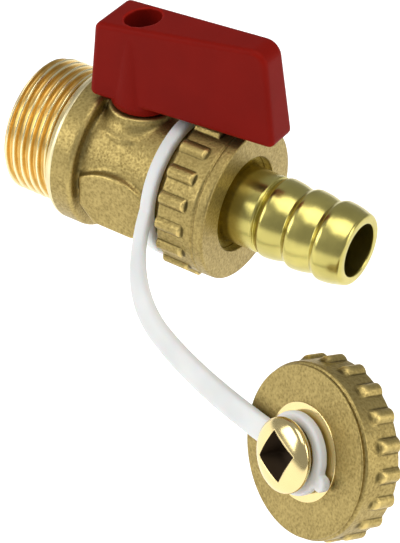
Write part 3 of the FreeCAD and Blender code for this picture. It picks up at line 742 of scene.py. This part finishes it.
class DRAINCOCK_OT_body(bpy.types.Operator):
    """Softens the casting and cuts the two pipe threads and the collar's machined shoulder"""
    bl_idname = "drain_cock.body"
    bl_label = "Valve body"

    def execute(self, context):
        sizes = settings().body
        vertices, faces = node_solid("valve_body")
        reach = np.hypot(vertices[:, 1], vertices[:, 2])
        inlet, outlet = BODY_BOX[0].x, BODY_BOX[1].x
        neck_end = NUT_BOX[0].x
        near = 0.05 * MM
        threaded = (reach > THREAD_RADIUS - sizes.bevel - 2.0 * near) & (reach < THREAD_RADIUS + near)
        threaded &= (vertices[:, 0] < near) | (vertices[:, 0] > neck_end - 6.0 * near)
        core = THREAD_RADIUS - sizes.depth - CORE_SINK
        vertices[threaded, 1:] *= (core / reach[threaded])[:, None]
        casting = softened(vertices, faces, sizes.voxel, 3)
        first = thread_shell(inlet, 0.0, sizes, sizes.relief)
        second = thread_shell(outlet, neck_end - 4.0 * near, sizes, sizes.outlet_relief)
        inner = THREAD_RADIUS - sizes.depth - SHOULDER_SINK
        rim = sizes.collar + SKIN / 2.0
        band_end = sizes.shoulder + sizes.band
        dive = 0.2 * MM
        shoulder = rounded([
            (-SKIN, inner, 0.05 * MM),
            (-SKIN, sizes.seat, 0.2 * MM),
            (sizes.shoulder, rim, 0.25 * MM),
            (band_end, rim, 0.05 * MM),
            (band_end + dive, sizes.collar - dive, 0.05 * MM),
            (sizes.shoulder, inner, 0.05 * MM),
        ])
        shoulder = resampled(shoulder, SHOULDER_STEP)
        shoulder = closed_tube(turned_shell(shoulder, FLOW, SHOULDER_COLUMNS))
        piece("valve_body_dressed", [
            (*casting, finish("cast")),
            (*first, finish("thread")),
            (*second, finish("thread")),
            (*shoulder, finish("shoulder")),
        ], "valve", ["valve_body"], bend_rounds=2)
        return {"FINISHED"}


class DRAINCOCK_OT_nut(bpy.types.Operator):
    """Makes the union nut as one turned section with its ribs raised on it"""
    bl_idname = "drain_cock.nut"
    bl_label = "Union nut"

    def execute(self, context):
        sizes = settings().nut
        back, front = NUT_BOX[0].x, NUT_BOX[1].x
        shoulder = front - sizes.wall
        rim = front - 2.2 * MM
        groove = 0.3 * MM
        draft = 0.1 * MM
        section = rounded([
            (back, sizes.bore, 0.3 * MM),
            (back, sizes.base, 0.5 * MM),
            (rim - groove, sizes.base, 0.3 * MM),
            (rim, sizes.base - groove, 0.3 * MM),
            (rim + groove, sizes.base, 0.3 * MM),
            (front, sizes.base - draft, 0.5 * MM),
            (front, sizes.hole, 0.3 * MM),
            (shoulder, sizes.hole, 0.1 * MM),
            (shoulder, sizes.bore, 0.1 * MM),
        ])
        section = resampled(section, NUT_STEP)
        end_soft, blend = 0.2 * MM, 0.05 * MM
        relief = rib_relief(sizes, back, back + sizes.rib_length - end_soft, end_soft, blend)
        shell = closed_tube(turned_shell(section, FLOW, NUT_COLUMNS, relief))
        piece("union_nut_dressed", [(*shell, finish("cast"))], "nut", ["union_nut"])
        return {"FINISHED"}


class DRAINCOCK_OT_tail(bpy.types.Operator):
    """Makes the hose tail: flange, neck and rounded barbs turned from one section"""
    bl_idname = "drain_cock.tail"
    bl_label = "Hose tail"

    def execute(self, context):
        sizes = settings().tail
        barb = MOUNTS["hose_spigot"]["dims"]["r_mm"] * MM
        back, tip = TAIL_BOX[0].x, TAIL_BOX[1].x
        flange = back + sizes.flange_thick
        foot = NUT_BOX[1].x + sizes.plain
        step, land, fall = 0.3 * MM, 2.4 * MM, 0.2 * MM
        corners = [
            (back, sizes.bore, 0.2 * MM),
            (back, sizes.flange, 0.2 * MM),
            (flange, sizes.flange, 0.2 * MM),
            (flange, sizes.neck, 1.2 * MM),
            (foot - step, sizes.neck, 0.3 * MM),
        ]
        for k in range(sizes.barbs):
            start = foot + k * sizes.barb_pitch
            crest = start + sizes.barb_rise
            corners += [(start, sizes.valley, 0.15 * MM), (crest, barb, 1.0 * MM),
                        (crest + land, barb - fall, 1.5 * MM)]
        corners += [(tip, sizes.valley - fall, 0.7 * MM), (tip, sizes.bore, 0.3 * MM)]
        section = resampled(rounded(corners, samples=9), TAIL_STEP)
        shell = closed_tube(turned_shell(section, FLOW, TAIL_COLUMNS))
        piece("hose_tail_dressed", [(*shell, finish("turned"))], "tail", ["hose_tail"])
        return {"FINISHED"}


def square_radius(t, side):
    """Distance from the middle to a square's edge at angle t."""
    return side / 2.0 / np.maximum(np.abs(np.cos(t)), np.abs(np.sin(t)))


class DRAINCOCK_OT_cap(bpy.types.Operator):
    """Makes the cap: ribbed casting, machined ring, polished boss with its square socket"""
    bl_idname = "drain_cock.cap"
    bl_label = "Cap"

    def axes(self, sizes):
        """Middle of the cap's face, its outward direction and two directions across."""
        eye_room = 0.3 * MM
        lift = sizes.ring_height + eye_room + settings().strap.eye_thick / 2.0
        return (EYE_MIDDLE - CAP_OUT * lift, CAP_OUT, CAP_SIDE, CAP_UP)

    def boss(self, axes, sizes):
        """Socket and head, in rows from the socket's floor over the dome to the neck's foot.

        The dome is an ellipse in section, and so is its underside down to the neck.
        """
        middle, along, side, up = axes
        t = angles(BOSS_COLUMNS)[None, :]
        foot = sizes.ring_height + sizes.neck_height
        waist = foot + WAIST_SHARE * sizes.head_height
        top = foot + sizes.head_height
        hole = square_radius(t - sizes.socket_turn + math.radians(45.0), sizes.socket)
        floor = top - sizes.socket_depth

        def dome(r):
            return waist + (top - waist) * np.sqrt(np.clip(1.0 - (r / sizes.head) ** 2, 0.0, None))
        share = np.linspace(0.0, 1.0, DOME_ROWS)[:, None] ** 0.7
        r_dome = hole + (sizes.head * 0.9999 - hole) * share
        under = np.linspace(0.0, 0.5 * math.pi, UNDER_ROWS)[1:, None]
        r_under = sizes.neck + (sizes.head - sizes.neck) * np.cos(under) + 0.0 * t
        z_under = waist - (waist - foot) * np.sin(under) + 0.0 * t
        flat = np.zeros_like(t)
        rows_r = np.vstack([flat, hole * 0.98, hole, r_dome, r_under, flat + sizes.neck, flat])
        rows_z = np.vstack([flat + floor, flat + floor, dome(hole) - BROKEN_EDGE, dome(r_dome), z_under,
                            flat - CAP_SINK, flat - CAP_SINK])
        ring = side * np.cos(t)[..., None] + up * np.sin(t)[..., None]
        points = middle + along * rows_z[..., None] + ring * rows_r[..., None]
        vertices, faces = closed_tube(points)
        inside = 2 * BOSS_COLUMNS
        # painted shade: the socket's walls and floor take the dark socket finish
        return [(vertices, faces[:inside], finish("socket")),
                (vertices, faces[inside: (len(rows_r) - 1) * BOSS_COLUMNS], finish("polished"))]

    def execute(self, context):
        sizes = settings().cap
        axes = self.axes(sizes)
        bore = MOUNTS["cap_thread"]["dims"]["r_mm"] * MM
        seat = sizes.roof + sizes.gasket
        centre, lip, slit, wall = 0.3 * MM, 0.35 * MM, 0.6 * MM, 0.95 * MM
        section = rounded([
            (0.0, centre, 0.1 * MM),
            (0.0, sizes.face, 0.25 * MM),
            (-lip, sizes.face + 0.1 * MM, 0.12 * MM),
            (-slit, sizes.face - 0.35 * MM, 0.12 * MM),
            (-wall, sizes.base - 0.05 * MM, 0.3 * MM),
            (-sizes.depth, sizes.base, 0.6 * MM),
            (-sizes.depth, bore, 0.3 * MM),
            (-seat, bore, 0.1 * MM),
            (-seat, sizes.gasket_radius, 0.1 * MM),
            (-sizes.roof, sizes.gasket_radius, 0.1 * MM),
            (-sizes.roof, centre, 0.1 * MM),
        ])
        section = resampled(section, CAP_STEP)
        full, end_soft, blend = sizes.rib_length - 1.2 * MM, 1.3 * MM, 0.15 * MM
        relief = rib_relief(sizes, -sizes.depth, full - sizes.depth, end_soft, blend)
        casting = closed_tube(turned_shell(section, axes, CAP_COLUMNS, relief))
        ring_inner = 3.0 * MM
        ring = rounded([
            (-CAP_SINK, ring_inner, 0.05 * MM),
            (sizes.ring_height, ring_inner, 0.05 * MM),
            (sizes.ring_height, sizes.ring, 0.15 * MM),
            (-CAP_SINK, sizes.ring, 0.05 * MM),
        ])
        ring = closed_tube(turned_shell(ring, axes, BOSS_COLUMNS))
        piece("cap_dressed", [
            (*casting, finish("cast")),
            (*ring, finish("polished")),
            *self.boss(axes, sizes),
        ], "cap", ["cap"])
        return {"FINISHED"}


class DRAINCOCK_OT_strap(bpy.types.Operator):
    """Makes the strap: ring, band and eye melted into one soft-edged moulding"""
    bl_idname = "drain_cock.strap"
    bl_label = "Strap"

    def oval(self, centre, across, out, half_across, half_out):
        """Rows of rounded oblongs: cos and sin raised to a power, scaled across and outward."""
        t = angles(OVAL_COLUMNS)[None, :, None]
        c = np.sign(np.cos(t)) * np.abs(np.cos(t)) ** OBLONG_POWER
        s = np.sign(np.sin(t)) * np.abs(np.sin(t)) ** OBLONG_POWER
        return (centre[:, None] + across[:, None] * c * half_across[:, None, None]
                + out[:, None] * s * half_out[:, None, None])

    def hoop(self, axes, radius, width, thick):
        """A ring: an oblong section, wide along the axis and thick outward, carried round a circle."""
        middle, along, side, up = axes
        t = angles(HOOP_ROWS)[:, None]
        out = side * np.cos(t) + up * np.sin(t)
        size = np.ones(len(t))
        return closed_tube(self.oval(middle + out * radius, np.tile(along, (len(t), 1)), out,
                                     size * width / 2.0, size * thick / 2.0))

    def band(self, way, sizes, start_out, end_out):
        """Oblong sections along two quadratic curves that meet halfway between the two bends.

        Their flat side turns from start_out to end_out: across is that direction crossed with the way.
        """
        start, first_bend, second_bend, end = way
        half = (first_bend + second_bend) / 2.0
        t = np.linspace(0.0, 1.0, BAND_ROWS)[:, None]
        line = np.vstack([quadratic(t, start, first_bend, half)[:-1], quadratic(t, half, second_bend, end)])
        way_on = np.gradient(line, axis=0)
        way_on /= np.linalg.norm(way_on, axis=1)[:, None]
        share = np.linspace(0.0, 1.0, len(line))
        turn = smoothstep(0.1, 0.9, share)[:, None]
        across = np.cross(start_out * (1 - turn) + end_out * turn, way_on)
        across /= np.linalg.norm(across, axis=1)[:, None]
        out = np.cross(way_on, across)
        wide = sizes.ring_width + (sizes.band_width - sizes.ring_width) * smoothstep(0.08, 0.45, share)
        thick = np.full(len(line), sizes.band_thick)
        return closed_tube(self.oval(line, across, out, wide / 2.0, thick / 2.0), caps=True)

    def execute(self, context):
        sizes = settings().strap
        ring_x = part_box("cap_strap")[0].x + sizes.ring_width / 2.0
        ring_r = sizes.ring_inner + sizes.ring_thick / 2.0
        eye_r = sizes.eye_inner + sizes.eye_wall / 2.0
        nub_r = sizes.eye_inner + sizes.eye_wall + sizes.nub_stand
        lead = CAP_SIDE * math.cos(sizes.turn) + CAP_UP * math.sin(sizes.turn)
        nub_way = CAP_SIDE * math.cos(sizes.nub_turn) + CAP_UP * math.sin(sizes.nub_turn)
        root_height = 1.5 * MM
        way = [np.array([ring_x, -ring_r, root_height]),
               np.array([ring_x, -ring_r - sizes.drop_out, -sizes.drop_down]),
               EYE_MIDDLE + lead * sizes.lead, EYE_MIDDLE + lead * eye_r]
        ring_axes = (X * ring_x, X, Y, Z)
        eye_axes = (EYE_MIDDLE, CAP_OUT, CAP_SIDE, CAP_UP)
        nub_axes = (EYE_MIDDLE + nub_way * nub_r, CAP_OUT, CAP_SIDE, CAP_UP)
        vertices, faces = joined([
            self.hoop(ring_axes, ring_r, sizes.ring_width, sizes.ring_thick),
            self.hoop(eye_axes, eye_r, sizes.eye_thick, sizes.eye_wall),
            self.band(way, sizes, -Y, CAP_OUT),
            self.hoop(nub_axes, sizes.nub / 2.0, sizes.eye_thick, sizes.nub),
        ])
        moulding = softened(vertices, faces, sizes.voxel, 6)
        piece("cap_strap_dressed", [(*moulding, finish("white"))], "strap", ["cap_strap"])
        return {"FINISHED"}


class DRAINCOCK_OT_lever(bpy.types.Operator):
    """Makes the lever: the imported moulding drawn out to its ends, widened at its back and softened"""
    bl_idname = "drain_cock.lever"
    bl_label = "Lever"

    def execute(self, context):
        """Scales each end from the stem, and the width by 1 + widen at the back to 1 at the tip."""
        sizes = settings().lever
        vertices, faces = node_solid("handle")
        low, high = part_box("handle")
        stem = JOINTS["lever_turn"]["pos_m"][0]
        along = vertices[:, 0] - stem
        share = (vertices[:, 0] - low.x) / (high.x - low.x)
        backward, forward = sizes.back / (stem - low.x), sizes.reach / (high.x - stem)
        vertices[:, 0] = stem + along * np.where(along < 0.0, backward, forward)
        above_foot = vertices[:, 2] > low.z + sizes.hub
        vertices[:, 1] *= 1.0 + sizes.widen * (1.0 - share) * above_foot
        moulding = softened(vertices, faces, sizes.voxel, 2)
        piece("handle_dressed", [(*moulding, finish("red"))], "lever", ["handle"])
        return {"FINISHED"}


class DRAINCOCK_OT_carried(bpy.types.Operator):
    """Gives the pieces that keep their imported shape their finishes"""
    bl_idname = "drain_cock.carried"
    bl_label = "Screw and inner pieces"

    def execute(self, context):
        paint(["handle_screw", "screw_washer"], "steel")
        paint(["stem", "seat_retainer"], "turned")
        paint(["ball"], "chrome")
        paint(["inlet_seat", "outlet_seat", "stem_washer"], "ptfe")
        paint([node for node in frame["nodes"] if "o_ring" in node or "gasket" in node], "rubber")
        return {"FINISHED"}


# Lamps: name, place, size, power in watts, tint
LAMPS = (
    ("top_lamp", (0.1, -0.1, 0.8), (0.6, 0.6), 3.0, (1.0, 0.99, 0.97)),
    ("left_lamp", (-0.5, -0.5, 0.35), (0.45, 0.5), 2.5, (1.0, 1.0, 1.0)),
    ("right_lamp", (0.6, 0.1, 0.25), (0.2, 0.5), 1.2, (1.0, 0.98, 0.95)),
)
LAMP_AIM = (0.03, -0.01, 0.0)


def area_light(name, place, size, power, tint):
    """A soft oblong lamp at a place, turned to the part."""
    data = bpy.data.lights.new(name, "AREA")
    data.shape = "RECTANGLE"
    data.size, data.size_y = size
    data.energy = power
    data.color = tint
    lamp = bpy.data.objects.new(name, data)
    lamp.location = place
    lamp.rotation_euler = (Vector(LAMP_AIM) - Vector(place)).to_track_quat("-Z", "Y").to_euler()
    bpy.context.scene.collection.objects.link(lamp)


class DRAINCOCK_OT_stage(bpy.types.Operator):
    """Sets the pale floor, the soft lamps and the camera"""
    bl_idname = "drain_cock.stage"
    bl_label = "Stage"

    def floor(self, height):
        """A wide, slightly glowing square under the part."""
        half = 3.0
        corners = [(-half, -half), (half, -half), (half, half), (-half, half)]
        mesh = bpy.data.meshes.new("floor")
        mesh.from_pydata([(x, y, height) for x, y in corners], [], [(0, 1, 2, 3)])
        f = Finish("floor", Roughness=0.9, Base_Color=(0.9, 0.9, 0.9, 1.0),
                   Emission_Color=(1.0, 1.0, 1.0, 1.0), Emission_Strength=0.55)
        mesh.materials.append(f.material)
        made = bpy.data.objects.new("floor", mesh)
        bpy.context.scene.collection.objects.link(made)

    def camera(self, stage):
        """A camera that looks at the aim from its azimuth and elevation, rolled about its own axis."""
        a, e, roll = stage.azimuth, stage.elevation, stage.roll
        back = Vector((math.sin(a) * math.cos(e), -math.cos(a) * math.cos(e), math.sin(e)))
        right = Vector((math.cos(a), math.sin(a), 0.0))
        up = back.cross(right)
        turned_right = right * math.cos(roll) + up * math.sin(roll)
        turned_up = up * math.cos(roll) - right * math.sin(roll)
        aim = Vector((stage.aim, 0.0, 0.0)) + turned_right * stage.shift_right + turned_up * stage.shift_up
        data = bpy.data.cameras.new("camera")
        data.lens = stage.lens
        data.sensor_width = 36.0
        data.clip_start = 0.01
        made = bpy.data.objects.new("camera", data)
        axes = Matrix((turned_right, turned_up, back)).transposed().to_4x4()
        made.matrix_world = Matrix.Translation(aim + back * stage.distance) @ axes
        bpy.context.scene.collection.objects.link(made)
        bpy.context.scene.camera = made

    def execute(self, context):
        stage = settings().stage
        self.floor(CAD_BOX[0][2] - stage.floor_drop)
        world = bpy.data.worlds.new("studio")
        world.use_nodes = True
        sky = world.node_tree.nodes["Background"].inputs
        sky["Color"].default_value = (0.95, 0.97, 1.0, 1.0)
        sky["Strength"].default_value = 0.4
        context.scene.world = world
        context.scene.view_settings.view_transform = "Standard"
        for lamp in LAMPS:
            area_light(*lamp)
        self.camera(stage)
        return {"FINISHED"}


class DRAINCOCK_PT_panel(bpy.types.Panel):
    """Lists the dressing steps and the sizes they use"""
    bl_idname = "DRAINCOCK_PT_panel"
    bl_label = "Drain cock"
    bl_space_type = "VIEW_3D"
    bl_region_type = "UI"
    bl_category = "Drain cock"

    def draw(self, context):
        for step in STEPS:
            self.layout.operator(step.bl_idname)
        for name in DRAINCOCK_PG_all.__annotations__:
            group = getattr(settings(), name)
            box = self.layout.box()
            box.label(text=name.capitalize())
            for key in group.__annotations__:
                box.prop(group, key)


STEPS = (DRAINCOCK_OT_stage, DRAINCOCK_OT_carried, DRAINCOCK_OT_body, DRAINCOCK_OT_nut,
         DRAINCOCK_OT_tail, DRAINCOCK_OT_cap, DRAINCOCK_OT_strap, DRAINCOCK_OT_lever)
GROUPS = (DRAINCOCK_PG_body, DRAINCOCK_PG_nut, DRAINCOCK_PG_tail, DRAINCOCK_PG_cap,
          DRAINCOCK_PG_strap, DRAINCOCK_PG_lever, DRAINCOCK_PG_finish, DRAINCOCK_PG_stage,
          DRAINCOCK_PG_all)
CLASSES = GROUPS + STEPS + (DRAINCOCK_PT_panel,)


def register():
    for cls in CLASSES:
        bpy.utils.register_class(cls)
    bpy.types.Scene.drain_cock = PointerProperty(type=DRAINCOCK_PG_all)


def unregister():
    del bpy.types.Scene.drain_cock
    for cls in reversed(CLASSES):
        bpy.utils.unregister_class(cls)


def main():
    register()
    for step in STEPS:
        group, name = step.bl_idname.split(".")
        getattr(getattr(bpy.ops, group), name)()


if __name__ == "__main__":
    main()
